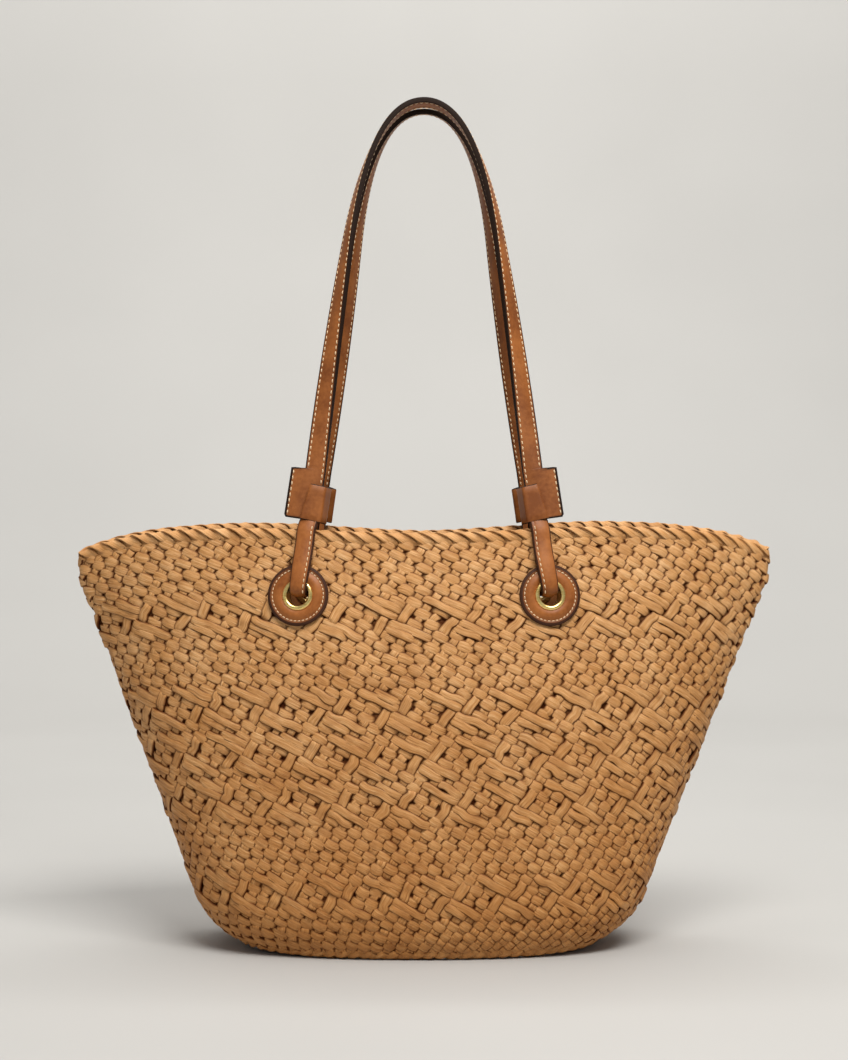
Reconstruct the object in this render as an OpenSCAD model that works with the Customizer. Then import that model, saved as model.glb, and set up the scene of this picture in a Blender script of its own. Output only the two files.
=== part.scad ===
// Woven raffia tote: a flaring basket with a flat oval base, pinched side corners and a braided rim,
// carried by two leather handles whose straps loop through brass eyelets in round leather patches.
// The basket stands on z = 0, its width is along X and its front faces -Y.

/* [Basket] */
// Width of the mouth, from one side corner of the rim to the other
mouth_w = 486; // [470:1:500]
// Height of the rim above the ground, at its two peaks
body_h = 290; // [285:1:292]
// Width that the straight side walls would have at the ground, without the rounded heel
foot_w = 284; // [270:1:292]
// Depth that the front and back walls would have at the ground, without the heel
foot_d = 148; // [138:1:156]
// Depth of the mouth at the middle
mouth_d = 117; // [108:1:126]
// Radius that turns the side walls into the base; the front and back turn tighter
heel_r = 36; // [28:1:40]
// How much lower the rim is at the side corners than at its peaks
corner_drop = 17; // [0:1:20]
// How much lower the rim is at the middle than at its peaks
middle_drop = 4; // [0:0.5:6]
// Thickness of the woven wall
wall_t = 5; // [4:0.5:6]
// Height of the braided rim
rim_h = 6; // [5:0.5:8]
// Thickness of the braided rim
rim_t = 8.4; // [7:0.2:9]

/* [Eyelets] */
// Sideways distance of each eyelet from the middle of the bag
eye_x = 84; // [78:1:90]
// Height of each eyelet's centre above the ground
eye_z = 244.5; // [242:0.5:246]
// Radius of the clear hole through an eyelet
eye_r = 7.2; // [6.9:0.1:8]
// Radius of the round leather patch
patch_r = 20.8; // [17:0.1:22]
// Thickness of the patch leather
patch_t = 2.2; // [1.6:0.1:2.6]

/* [Handles] */
// Height of the top of the handles
handle_top = 591; // [540:1:620]
// Width of the handle strap
strap_w = 14; // [12:0.5:15]
// Thickness of the handle strap, both layers of leather together
strap_t = 3.2; // [2.6:0.1:3.4]
// Width of the strap that loops through an eyelet
loop_w = 11.2; // [9:0.1:11.4]
// Width of the tab at each end of a strap
tab_w = 25; // [22:0.5:28]
// Height of the tab
tab_h = 34; // [30:1:36]
// Height of the leather band that wraps each tab and its loop
wrap_h = 25; // [18:1:26]
// Thickness of the wrapping band
wrap_t = 1.7; // [1.2:0.1:2]

/* [Hidden] */

raffia = "#c08d56";
tan_leather = "#9a5f35";
brass = "#d8b45a";
thread = "#e0c39a";

gap = 0.3; // between pieces that lie against each other
base_t = 6; // thickness of the woven base
base_steps = 3; // slabs that step the base's edge in towards the ground
around = 48; // points round the wall
heel_rings = 4;
side_rings = 8;
base_pinch = 0.27; // under 0.5 the oval is squarer than an ellipse, and 1 is a lens with sharp side corners
mouth_pinch = 0.88;
mouth_curl = 7.5; // how far the side corners of the rim curl back in
curl_h = 52; // height over which they curl
peak_at = 0.52; // share of the way to a side corner at which the rim is highest
front_heel = 0.41; // size of the front and back heel next to the side one

// Half the width of the wall's middle surface at height z
flare = (mouth_w / 2 - rim_t / 2 + mouth_curl - foot_w / 2 + wall_t / 2) / (body_h - corner_drop);
function rise(z) = pow(max(0, (z - base_t) / (body_h - base_t)), 2);
function heel(z) = z < heel_r ? heel_r - sqrt(heel_r * heel_r - (heel_r - z) * (heel_r - z)) : 0;
function curl(z) = mouth_curl * pow(max(0, (z - body_h + curl_h) / curl_h), 2);
function half_w(z) = foot_w / 2 - wall_t / 2 + flare * (z - corner_drop * rise(z)) - heel(z) - curl(z);

// Half the depth: it swells a little above the heel, then closes towards the mouth
swell = 0.11;
close_in = ((foot_d - mouth_d + rim_t - wall_t) / 2 + swell * body_h) / (body_h * body_h);
function half_d(z) = (foot_d - wall_t) / 2 + swell * z - close_in * z * z - front_heel * heel(z);

// The section changes from an oval at the base to a lens at the mouth
function pinch(z) = base_pinch + (mouth_pinch - base_pinch) * pow(z / body_h, 1.3);
// How far the rim is lower than its peaks at a share c of the way to a side corner
function dip(c) = corner_drop * pow(abs(c), 6.5) + middle_drop * pow(max(0, 1 - pow(c / peak_at, 2)), 2);
function wall_point(turn, z, off) =
    let (s = sin(turn), c = cos(turn))
    [
        (half_w(z) + off) * c,
        (half_d(z) + off) * sign(s) * pow(abs(s), 2 * pinch(z)),
        z - rise(z) * dip(c)
    ];
function ring(z, off) = [for (k = [0:around - 1]) wall_point(360 * k / around, z, off)];

// The front wall's middle surface over the point x, z, and its outward direction
function front_depth(x, z) = half_d(z) * pow(1 - pow(x / half_w(z), 2), pinch(z));
function front_point(x, z) = [x, -front_depth(x, z), z];
function unit(v) = v / norm(v);
function front_out(x, z) = unit([
    front_depth(x - 1, z) - front_depth(x + 1, z),
    -2,
    front_depth(x, z - 1) - front_depth(x, z + 1)
]);

// Straps: the legs run straight from the eyelets up to the crown of the arch
leg_x = 73.6; // sideways place of a leg at leg_z
leg_z = 329.5;
leg_slope = 0.146; // how much a leg closes in for each millimetre of rise
crown_z = 488; // height at which the legs begin to arch over
crown_rise = 50; // length of the arch's upright handle
crown_reach = 28.9; // length of the arch's level handle
apex_z = handle_top - 6; // height of the strap's middle at the top
apex_y = 8.2; // how far in front of the middle the strap's middle is at the top
keeper_base_z = 294.5; // lower edge of the wraps
keeper_base_y = 48.5;
lean = (keeper_base_y - apex_y) / (apex_z - keeper_base_z);
lean_angle = atan(lean);
leg_angle = atan(leg_slope);
leg_steps = 14;
crown_steps = 12;
spread = 1.8; // the front arch is this much wider at half height, and the back arch narrower

function leg_at(z) = leg_x + leg_slope * (leg_z - z);
function handle_y(z) = -apex_y - lean * (apex_z - z);
function bezier(p, t) =
    pow(1 - t, 3) * p[0] + 3 * t * pow(1 - t, 2) * p[1] + 3 * t * t * (1 - t) * p[2] + pow(t, 3) * p[3];
crown = [
    [leg_at(crown_z), crown_z],
    [leg_at(crown_z) - leg_slope * crown_rise, crown_z + crown_rise],
    [crown_reach, apex_z],
    [0, apex_z]
];
// Half of the arch, from a tab to the top, as sideways place and height
half_arch = concat(
    [for (k = [0:leg_steps - 1]) let (z = leg_z + gap + (crown_z - leg_z - gap) * k / leg_steps) [leg_at(z), z]],
    [for (k = [0:crown_steps]) bezier(crown, k / crown_steps)]
);
last = len(half_arch) - 1;
function widened(p, s) = p[0] + s * spread * sin(180 * (p[1] - leg_z) / (apex_z - leg_z));
function arch_point(i, s) =
    let (k = i <= last ? i : 2 * last - i, side = i <= last ? -1 : 1, p = half_arch[k])
    [side * widened(p, s), handle_y(p[1]), p[1]];
// The strap turns a quarter on its way up: flat against the bag at the tab, flat on the hand at the top
function twist(z) = 90 * pow(max(0, (z - leg_z) / (apex_z - leg_z)), 0.6);
// A frame is [point, width direction, outward direction]
function strap_frame(i, s) =
    let (
        p = arch_point(i, s),
        ahead = unit(arch_point(min(i + 1, 2 * last), s) - arch_point(max(i - 1, 0), s)),
        a = twist(p[2]),
        side = i <= last ? 1 : -1,
        wide = [side * cos(a), -sin(a) * cos(lean_angle), sin(a) * sin(lean_angle)],
        across = unit(wide - (wide * ahead) * ahead)
    )
    [p, across, cross(across, ahead)];

// A ribbon through frames, with its section from x0 to x1 in width and from n0 to n1 in thickness
module ribbon(frames, x0, x1, n0, n1) {
    corners = [[x0, n0], [x1, n0], [x1, n1], [x0, n1]];
    n = len(frames);
    points = [for (f = frames) for (c = corners) f[0] + c[0] * f[1] + c[1] * f[2]];
    // Both wide faces are split along the same diagonal, so that layers nest however they twist
    sides = [
        for (i = [0:n - 2]) for (j = [0:3])
        let (a = 4 * i + j, b = 4 * i + (j + 1) % 4)
        each j == 2 ? [[a, a + 4, b], [b, a + 4, b + 4]] : [[a, a + 4, b + 4], [a, b + 4, b]]
    ];
    e = 4 * (n - 1);
    ends = [[0, 1, 2], [0, 2, 3], [e, e + 2, e + 1], [e, e + 3, e + 2]];
    polyhedron(points, concat(sides, ends));
}

// A closed shell through rings, each a list of rows of equal length, such as outer, then inner
module closed_rings(rows) {
    m = len(rows[0]);
    r = len(rows);
    points = [for (row = rows) each row];
    faces = [
        for (i = [0:r - 1]) for (k = [0:m - 1])
        let (
            a = i * m + k,
            b = i * m + (k + 1) % m,
            c = ((i + 1) % r) * m + (k + 1) % m,
            d = ((i + 1) % r) * m + k
        )
        each [[a, c, b], [a, d, c]]
    ];
    polyhedron(points, faces);
}

module both_sides(left, front) {
    mirror([left ? 1 : 0, 0, 0]) mirror([0, front ? 0 : 1, 0]) children();
}

// Local frame of the front right eyelet: X sideways, Y up the wall, Z outwards
eye_centre = front_point(eye_x, eye_z);
eye_out = front_out(eye_x, eye_z);
eye_side = unit(cross([0, 0, 1], eye_out));
eye_up = cross(eye_out, eye_side);
module at_eyelet() {
    multmatrix([
        [eye_side[0], eye_up[0], eye_out[0], eye_centre[0]],
        [eye_side[1], eye_up[1], eye_out[1], eye_centre[1]],
        [eye_side[2], eye_up[2], eye_out[2], eye_centre[2]],
        [0, 0, 0, 1]
    ]) children();
}

module disc_with_hole(r, hole, z, t) {
    translate([0, 0, z]) difference() {
        cylinder(h = t, r = r, $fn = 96);
        translate([0, 0, -1]) cylinder(h = t + 2, r = hole, $fn = 64);
    }
}

wall_top = body_h - rim_h - gap;
// Rings of the wall, closer together in the heel
wall_heights = concat(
    [for (k = [0:heel_rings - 1]) base_t + (heel_r - base_t) * pow(k / heel_rings, 1.4)],
    [for (k = [0:side_rings]) heel_r + (wall_top - heel_r) * k / side_rings]
);

module woven_wall() {
    rows = len(wall_heights);
    outer = [for (i = [0:rows - 1]) ring(wall_heights[i], wall_t / 2)];
    inner = [for (i = [rows - 1:-1:0]) ring(wall_heights[i], -wall_t / 2)];
    color(raffia) difference() {
        closed_rings(concat(outer, inner));
        for (left = [false, true]) for (front = [false, true])
            both_sides(left, front) at_eyelet() translate([0, 0, -12]) cylinder(h = 24, r = eye_r + 1.3, $fn = 64);
    }
}

module woven_base() {
    step = base_t / base_steps;
    color(raffia) for (k = [0:base_steps - 1])
        translate([0, 0, k * step]) linear_extrude(step)
            polygon([for (p = ring((k + 0.5) * step, wall_t / 2)) [p[0], p[1]]]);
}

module rim_braid() {
    half = rim_t / 2;
    color(raffia) closed_rings([
        ring(body_h - rim_h, half),
        ring(body_h - 2, half),
        ring(body_h, half - 2),
        ring(body_h, 2 - half),
        ring(body_h - 2, -half),
        ring(body_h - rim_h, -half)
    ]);
}

// Heights above the wall's middle surface, outwards
patch_z = wall_t / 2 + 0.5;
flange_z = patch_z + patch_t + 0.1;
backing_z = -wall_t / 2 - 1 - patch_t;
washer_t = 0.9;
washer_z = backing_z - 0.1 - washer_t;
flange_r = eye_r + 3;
barrel_t = 0.7;

module patch() {
    color(tan_leather) at_eyelet() disc_with_hole(patch_r, eye_r + 0.9, patch_z, patch_t);
}

module backing() {
    color(tan_leather) at_eyelet() disc_with_hole(patch_r - 3.4, eye_r + 0.9, backing_z, patch_t);
}

// A rolled brass eyelet: a barrel through the wall with a domed flange on the outside
module eyelet() {
    dome = 1.25;
    color(brass) at_eyelet() rotate_extrude($fn = 96) union() {
        translate([eye_r, washer_z]) square([barrel_t, flange_z - washer_z + 0.2]);
        translate([eye_r + 0.5, flange_z]) square([flange_r - eye_r - 1, dome - 0.6]);
        translate([(eye_r + flange_r) / 2, flange_z + 0.2]) intersection() {
            circle(r = flange_r - (eye_r + flange_r) / 2, $fn = 48);
            translate([-2, -0.2]) square([4, dome + 0.2]);
        }
    }
}

module washer() {
    color(brass) at_eyelet() disc_with_hole(flange_r, eye_r + barrel_t + 0.1, washer_z, washer_t);
}

module patch_seam() {
    color(thread) at_eyelet() rotate_extrude($fn = 96)
        translate([patch_r - 3.1, patch_z + patch_t]) square([0.6, 0.35]);
}

// The loop's route as height above the eyelet's centre and distance out from the wall's middle
loop_route = [
    [46.8, 5.6], [43, 6.3], [38, 6.4], [32, 6.8], [26, 7.5], [20, 8.2], [14, 8.7], [9, 8.9], [5, 8.7],
    [2.4, 7.4], [1.2, 5], [1, 2], [1, -2], [1.2, -4.8], [2.4, -7], [5, -8.4], [9, -8.7], [14, -8.5],
    [20, -8], [26, -7.4], [32, -6.8], [38, -6.4], [43, -6.3], [46.8, -5.6]
];
function loop_x(z) = eye_x + (leg_at(keeper_base_z) - eye_x) * (z - eye_z) / (keeper_base_z - eye_z);
function loop_point(k) =
    let (z = eye_z + loop_route[k][0], x = loop_x(z))
    front_point(x, z) + loop_route[k][1] * front_out(x, z);
function loop_frame(k) =
    let (
        n = len(loop_route) - 1,
        ahead = unit(loop_point(min(k + 1, n)) - loop_point(max(k - 1, 0))),
        across = unit(eye_side - (eye_side * ahead) * ahead)
    )
    [loop_point(k), across, cross(across, ahead)];

module loop() {
    color(tan_leather)
        ribbon([for (k = [0:len(loop_route) - 1]) loop_frame(k)], -loop_w / 2, loop_w / 2, -strap_t / 2, strap_t / 2);
}

// Local frame of the front right keeper: X outwards along the bag, Y into the bag, Z up the strap
module at_keeper() {
    z = keeper_base_z;
    translate([leg_at(z), handle_y(z), z]) rotate([-lean_angle, -leg_angle, 0]) children();
}

module rounded_rectangle(x0, x1, y0, y1, r) {
    translate([x0 + r, y0]) square([x1 - x0 - 2 * r, y1 - y0]);
    translate([x0, y0 + r]) square([x1 - x0, y1 - y0 - 2 * r]);
    for (x = [x0 + r, x1 - r]) for (y = [y0 + r, y1 - r]) translate([x, y]) circle(r = r, $fn = 32);
}

wrap_out = strap_t * 1.5 + 2 * gap + wrap_t; // half the wrap's depth
wrap_x0 = -strap_w / 2 - 3.6; // inner fold of the wrap
wrap_x1 = loop_w / 2 + 0.3 + wrap_t; // where the wrap goes through the tab's slit
tab_x0 = -strap_w / 2 - 1.5;
tab_z0 = 1.2;

module loop_ends() {
    color(tan_leather) at_keeper() for (side = [-1, 1])
        translate([-loop_w / 2, side * (strap_t + 0.15) - strap_t / 2, -0.4]) cube([loop_w, strap_t, wrap_h - 4]);
}

module tab() {
    color(tan_leather) at_keeper() difference() {
        translate([0, strap_t / 2, 0]) rotate([90, 0, 0]) linear_extrude(strap_t)
            rounded_rectangle(tab_x0, tab_x0 + tab_w, tab_z0, tab_z0 + tab_h - 0.4, 1);
        translate([wrap_x1 - wrap_t - 0.2, -strap_t, -1]) cube([wrap_t + 0.4, 2 * strap_t, wrap_h + 1.4]);
    }
}

module wrap() {
    color(tan_leather) at_keeper() linear_extrude(wrap_h) difference() {
        rounded_rectangle(wrap_x0, wrap_x1, -wrap_out, wrap_out, 2.6);
        rounded_rectangle(wrap_x0 + wrap_t, wrap_x1 - wrap_t, -wrap_out + wrap_t, wrap_out - wrap_t, 0.6);
    }
}

// s is 1 for the front arch and -1 for the back one, which both_sides then turns round
module strap(s) {
    color(tan_leather)
        ribbon([for (i = [0:2 * last]) strap_frame(i, s)], -strap_w / 2, strap_w / 2, 0.03, strap_t / 2);
}

module strap_lining(s) {
    color(tan_leather)
        ribbon([for (i = [0:2 * last]) strap_frame(i, s)], -strap_w / 2, strap_w / 2, -strap_t / 2, -0.03);
}

module strap_stitching(s) {
    seam_x = strap_w / 2 - 1.7;
    seam_n = strap_t / 2 + 0.35;
    frames = [for (i = [0:2 * last]) strap_frame(i, s)];
    color(thread) for (x = [-seam_x, seam_x]) {
        ribbon(frames, x - 0.3, x + 0.3, seam_n, seam_n + 0.3);
        ribbon(frames, x - 0.3, x + 0.3, -seam_n - 0.3, -seam_n);
    }
}

woven_wall();
woven_base();
rim_braid();
for (front = [true, false]) for (left = [true, false]) {
    place = str(front ? "front" : "back", left ? "_left" : "_right");
    both_sides(left, front) {
        patch();
        backing();
        eyelet();
        washer();
        loop();
        loop_ends();
        tab();
        wrap();
        patch_seam();  // patch_stitching
    }
}
strap(1);  // front_strap
both_sides(false, false) strap(-1);  // back_strap
strap_lining(1);  // front_strap_lining
both_sides(false, false) strap_lining(-1);  // back_strap_lining
strap_stitching(1);  // front_strap_stitching
both_sides(false, false) strap_stitching(-1);  // back_strap_stitching
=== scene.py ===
from math import atan, ceil, cos, pi, radians, sin, sqrt

import bmesh
import bpy
import numpy as np
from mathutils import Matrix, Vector


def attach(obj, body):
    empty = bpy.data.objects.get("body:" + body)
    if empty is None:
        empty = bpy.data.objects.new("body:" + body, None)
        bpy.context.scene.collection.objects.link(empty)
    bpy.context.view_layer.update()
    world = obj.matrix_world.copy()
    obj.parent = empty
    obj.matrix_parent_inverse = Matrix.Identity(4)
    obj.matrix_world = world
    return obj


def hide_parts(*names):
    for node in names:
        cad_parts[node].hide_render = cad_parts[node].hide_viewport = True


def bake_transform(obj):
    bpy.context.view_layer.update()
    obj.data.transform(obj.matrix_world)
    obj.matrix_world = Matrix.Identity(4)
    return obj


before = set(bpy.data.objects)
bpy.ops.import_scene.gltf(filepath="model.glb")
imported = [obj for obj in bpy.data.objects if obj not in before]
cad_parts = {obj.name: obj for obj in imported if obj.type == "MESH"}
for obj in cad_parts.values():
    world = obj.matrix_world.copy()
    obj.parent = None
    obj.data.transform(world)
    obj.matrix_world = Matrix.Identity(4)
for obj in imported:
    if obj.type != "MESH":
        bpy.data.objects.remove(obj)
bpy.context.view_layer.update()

MM = 0.001
RNG = np.random.default_rng(20)

# The four fittings, with what turns a place at the front right one into the same place at each
SIDES = {
    f"{row}_{side}": np.array([x, y, 1.0])
    for row, y in (("front", 1), ("back", -1)) for side, x in (("left", -1), ("right", 1))
}

# The basket's shape, in millimetres, is worked out from the same driving dimensions as in part.scad
MOUTH_W, BODY_H, FOOT_W, FOOT_D, MOUTH_D = 486.0, 290.0, 284.0, 148.0, 117.0
HEEL_R, CORNER_DROP, MIDDLE_DROP, WALL_T, RIM_T = 36.0, 17.0, 4.0, 5.0, 8.4
BASE_T, BASE_PINCH, MOUTH_PINCH, MOUTH_CURL, CURL_H = 6.0, 0.27, 0.88, 7.5, 52.0
PEAK_AT, FRONT_HEEL, SWELL = 0.52, 0.41, 0.11
EYE_X, EYE_Z, EYE_R, PATCH_R, PATCH_T = 84.0, 244.5, 7.2, 20.8, 2.2
STRAP_W, STRAP_T, TAB_OUT, TAB_BASE, WRAP_H = 14.0, 3.2, 16.5, 295.7, 25.0
LEG_X, LEG_Z, LEG_SLOPE, CROWN_Z, CROWN_RISE, CROWN_REACH = 73.6, 329.5, 0.146, 488.0, 50.0, 28.9
APEX_Z, APEX_Y, KEEPER_Z, KEEPER_Y, SPREAD = 585.0, 8.2, 294.5, 48.5, 1.8

# The weave: two families of strands that wind round the wall in opposite directions
CELLS = 84  # strands in each family
ROW_H = 7.8
SLANT_HEEL = 0.6  # share of the side heel used to space the rows where the wall turns under
LAST_ROW = 37.6

# What a hand-made basket adds to the plain wall, in millimetres
END_LIFT = 3.4  # the base turns up at its two ends
BACK_PEAK, RIGHT_UP, LEAN_LEFT = 3.4, 1.3, 3.6
SHOULDER = 3.4  # the wall's ends swell below the rim
SHOULDER_AT, SHOULDER_SPAN = 0.93, 0.06  # as levels, from 0 at the foot to 1 at the rim
FLOOR_GAP = 0.25  # no strand goes lower than this


def within(value):
    """The value, kept from 0 to 1."""
    return np.clip(value, 0, 1)


def half_w(z):
    flare = (MOUTH_W / 2 - RIM_T / 2 + MOUTH_CURL - FOOT_W / 2 + WALL_T / 2) / (BODY_H - CORNER_DROP)
    curl = MOUTH_CURL * np.maximum(0, (z - BODY_H + CURL_H) / CURL_H) ** 2
    return FOOT_W / 2 - WALL_T / 2 + flare * (z - CORNER_DROP * rise(z)) - heel(z) - curl


def rise(z):
    return np.maximum(0, (z - BASE_T) / (BODY_H - BASE_T)) ** 2


def heel(z):
    under = np.clip(HEEL_R - z, 0, HEEL_R)
    return HEEL_R - np.sqrt(HEEL_R**2 - under**2)


def half_d(z):
    close_in = ((FOOT_D - MOUTH_D + RIM_T - WALL_T) / 2 + SWELL * BODY_H) / BODY_H**2
    return (FOOT_D - WALL_T) / 2 + SWELL * z - close_in * z * z - FRONT_HEEL * heel(z)


def pinch(z):
    return BASE_PINCH + (MOUTH_PINCH - BASE_PINCH) * (z / BODY_H) ** 1.3


def dip(c):
    middle = np.maximum(0, 1 - (c / PEAK_AT) ** 2) ** 2
    return CORNER_DROP * np.abs(c) ** 6.5 + MIDDLE_DROP * middle


def wall(turn, z):
    """The wall's middle surface, with the small lean and the uneven rim that a hand-made basket has."""
    s, c = np.sin(turn), np.cos(turn)
    x = half_w(z) * c
    y = half_d(z) * np.sign(s) * np.abs(s) ** (2 * pinch(z))
    level = z / BODY_H
    back_peak = BACK_PEAK * within(s) ** 0.5 * np.minimum(1, np.abs(c) / PEAK_AT) * level**8
    right_up = RIGHT_UP * c * level**6
    lean = -LEAN_LEFT * (1 - level) ** 1.4
    swell = np.exp(-(((level - SHOULDER_AT) / SHOULDER_SPAN) ** 2))
    shoulder = (SHOULDER - 0.2 * c) * c * np.abs(c) ** 3 * swell
    lift = END_LIFT * c**4 * within(1 - z / 45) ** 1.5
    return np.stack([x + lean + shoulder, y, z - rise(z) * dip(c) + back_peak + right_up + lift], -1)


def front_depth(x, z):
    return half_d(z) * (1 - (x / half_w(z)) ** 2) ** pinch(z)


def front_point(x, z):
    return np.array([x, -front_depth(x, z), z])


def unit(v):
    v = np.asarray(v, float)
    return v / np.maximum(np.linalg.norm(v, axis=-1, keepdims=True), 1e-9)


def length_along(path):
    step = np.linalg.norm(np.diff(path, axis=-2), axis=-1)
    return np.concatenate([np.zeros(step.shape[:-1] + (1,)), np.cumsum(step, -1)], -1)


def read_off(length, walk, table):
    """Rows of a table at some lengths. walk holds the length that goes with each row."""
    return np.stack([np.interp(length, walk, column) for column in table.T], -1)


def evenly(path, count, endpoint=True):
    """The same line through evenly spaced points."""
    walk = length_along(path)
    return read_off(np.linspace(0, walk[-1], count, endpoint=endpoint), walk, path)


def front_out(x, z):
    across = front_depth(x - 1, z) - front_depth(x + 1, z)
    down = front_depth(x, z - 1) - front_depth(x, z + 1)
    return unit([across, -2, down])


class WallTable:
    """Places on the wall by cells round it, from the front's middle, and by rows down from the rim."""

    def __init__(self, rows=240, points=3360, columns=1344):
        z = np.linspace(BODY_H, 0, 4000)
        steps = np.hypot(np.diff(z), SLANT_HEEL * np.diff(heel(z)))
        row_of_z = np.concatenate([[0], np.cumsum(steps)]) / ROW_H
        self.last = row_of_z[-1]
        self.rows = np.linspace(0, self.last, rows)
        heights = np.interp(self.rows, row_of_z, z)
        turn = np.linspace(-pi / 2, 1.5 * pi, points + 1)
        ring = wall(turn[None, :], heights[:, None])
        share = np.arange(columns) / columns
        walks = zip(length_along(ring), ring)
        self.place = np.array([read_off(share, walk / walk[-1], line) for walk, line in walks])
        along = np.roll(self.place, -1, 1) - np.roll(self.place, 1, 1)
        down = np.gradient(self.place, axis=0)
        out = unit(np.cross(down, along))
        reach = columns // CELLS // 2
        self.out = unit(sum(np.roll(out, k, 1) for k in range(-reach, reach + 1)))

    def at(self, cells, row):
        columns = self.place.shape[1]
        c = np.mod(cells / CELLS, 1) * columns
        r = within(row / self.last) * (len(self.rows) - 1.001)
        c0, r0 = c.astype(int), r.astype(int)
        fc, fr = (c - c0)[..., None], (r - r0)[..., None]
        c0, c1 = c0 % columns, (c0 + 1) % columns

        def mix(table):
            upper = table[r0, c0] * (1 - fc) + table[r0, c1] * fc
            lower = table[r0 + 1, c0] * (1 - fc) + table[r0 + 1, c1] * fc
            return upper * (1 - fr) + lower * fr

        return mix(self.place), unit(mix(self.out))


WALL = WallTable()


# ---- mesh making
def show(name, data):
    thing = bpy.data.objects.new(name, data)
    bpy.context.scene.collection.objects.link(thing)
    return thing


def skin(name, grid, closed=False, tube=True, caps=True, sharp=None, **marks):
    """Lays faces over strips of rings of points, given in millimetres as strips, rings, points, xyz."""
    strips, rings, points, _ = grid.shape
    marks = {mark: np.asarray(v, np.float32) for mark, v in marks.items()}
    marks = {mark: v if v.ndim == 4 else np.broadcast_to(v, grid.shape[:3]) for mark, v in marks.items()}
    index = np.arange(strips * rings * points).reshape(strips, rings, points)
    if tube and inside_out(grid, closed):
        grid, marks = grid[:, :, ::-1], {mark: v[:, :, ::-1] for mark, v in marks.items()}
    r = np.arange(rings if closed else rings - 1)
    k = np.arange(points if tube else points - 1)
    r1, k1 = (r + 1) % rings, (k + 1) % points
    corners = [index[:, r][:, :, k], index[:, r][:, :, k1], index[:, r1][:, :, k1], index[:, r1][:, :, k]]
    faces = np.stack(corners, -1).reshape(-1, 4).tolist()
    if caps and not closed:
        faces += index[:, 0, ::-1].tolist() + index[:, -1, :].tolist()
    mesh = bpy.data.meshes.new(name)
    mesh.from_pydata((grid.reshape(-1, 3) * MM).tolist(), [], faces)
    lay_out(mesh, grid, len(r), len(k))
    for mark, values in marks.items():
        kind, field = ("FLOAT_VECTOR", "vector") if values.ndim == 4 else ("FLOAT", "value")
        layer = mesh.attributes.new(mark, kind, "POINT")
        layer.data.foreach_set(field, values.reshape(-1))
    mesh.shade_smooth()
    if sharp:
        mesh.set_sharp_from_angle(angle=radians(sharp))
    mesh.update()
    return show(name, mesh)


def inside_out(grid, closed):
    """Whether the faces would look inwards, from the volume that they close."""
    middle = grid.mean(axis=(1, 2), keepdims=True)
    a = grid - middle
    b, ahead = np.roll(a, -1, 2), np.roll(a, -1, 1)
    c = np.roll(ahead, -1, 2)
    volume = (a * np.cross(b, c)).sum(-1) + (a * np.cross(c, ahead)).sum(-1)
    return (volume if closed else volume[:, :-1]).sum() < 0


def lay_out(mesh, grid, rings, points):
    """Gives the mesh its baking map: each strip a rectangle, and the rectangles packed in a square."""
    strips = grid.shape[0]
    long = np.linalg.norm(np.diff(grid, axis=1), axis=-1).sum(1).mean()
    wide = np.linalg.norm(np.diff(grid, axis=2), axis=-1).sum(2).mean()
    columns = int(max(1, min(strips, round(sqrt(strips * wide / max(long, 0.1))))))
    lines = ceil(strips / columns)
    r, k = np.arange(rings), np.arange(points)
    ring, point = np.meshgrid(r, k, indexing="ij")
    u = np.stack([ring, ring, ring + 1, ring + 1], -1)
    v = np.stack([point, point + 1, point + 1, point], -1)
    cell = np.arange(strips)[:, None, None, None]
    border = 0.04
    u = (cell % columns + border + (1 - 2 * border) * u / rings) / columns
    v = (cell // columns + border + (1 - 2 * border) * v / points) / lines
    uv = np.stack([u, v], -1).reshape(-1, 2)
    layer = mesh.uv_layers.new(name="OFBake")
    values = np.zeros((len(mesh.loops), 2), np.float32)
    values[: len(uv)] = uv
    layer.data.foreach_set("uv", values.reshape(-1))


def beside(path, across, up, x, y):
    """Points beside a path: x in its width direction and y in its outward one."""
    return path[..., None, :] + across[..., None, :] * x[..., None] + up[..., None, :] * y[..., None]


def sweep(path, out, wide, thick, shape):
    """Rings round each path. shape holds the section's points, from -1 to 1 in width and thickness."""
    ahead = unit(np.gradient(path, axis=-2))
    across = unit(np.cross(out, ahead))
    x, y = (shape[..., k] * np.asarray(size)[..., None] / 2 for k, size in enumerate((wide, thick)))
    return beside(path, across, unit(np.cross(ahead, across)), x, y)


def squared(value, power):
    """A power that keeps the sign, which makes a circle's sine and cosine squarer or rounder."""
    return np.sign(value) * np.abs(value) ** power


def oval(points, square=0.8):
    a = 2 * pi * np.arange(points) / points
    return np.stack([squared(np.cos(a), square), squared(np.sin(a), square)], -1)


def ease(values, t):
    """Smooth steps between values that are given at whole numbers."""
    k = np.clip(np.floor(t).astype(int), 0, values.shape[1] - 2)
    f = t - k
    f = f * f * (3 - 2 * f)
    a = np.take_along_axis(values, k, 1)
    b = np.take_along_axis(values, k + 1, 1)
    return a + (b - a) * f


def fibre_marks(path, shape, wide, seeds):
    """Where a point is across and along its strand, for the fibres in the raffia."""
    marks = np.empty(path.shape[:2] + (shape.shape[-2], 3))
    marks[..., 0] = shape[..., 0] * np.asarray(wide)[..., None] / 2
    marks[..., 1] = length_along(path)[..., None] + seeds[:, None, None] * 37
    marks[..., 2] = seeds[:, None, None]
    return marks


# ---- materials
def linear(r, g, b):
    def one(c):
        c /= 255
        return c / 12.92 if c <= 0.04045 else ((c + 0.055) / 1.055) ** 2.4

    return one(r), one(g), one(b), 1.0


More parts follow.
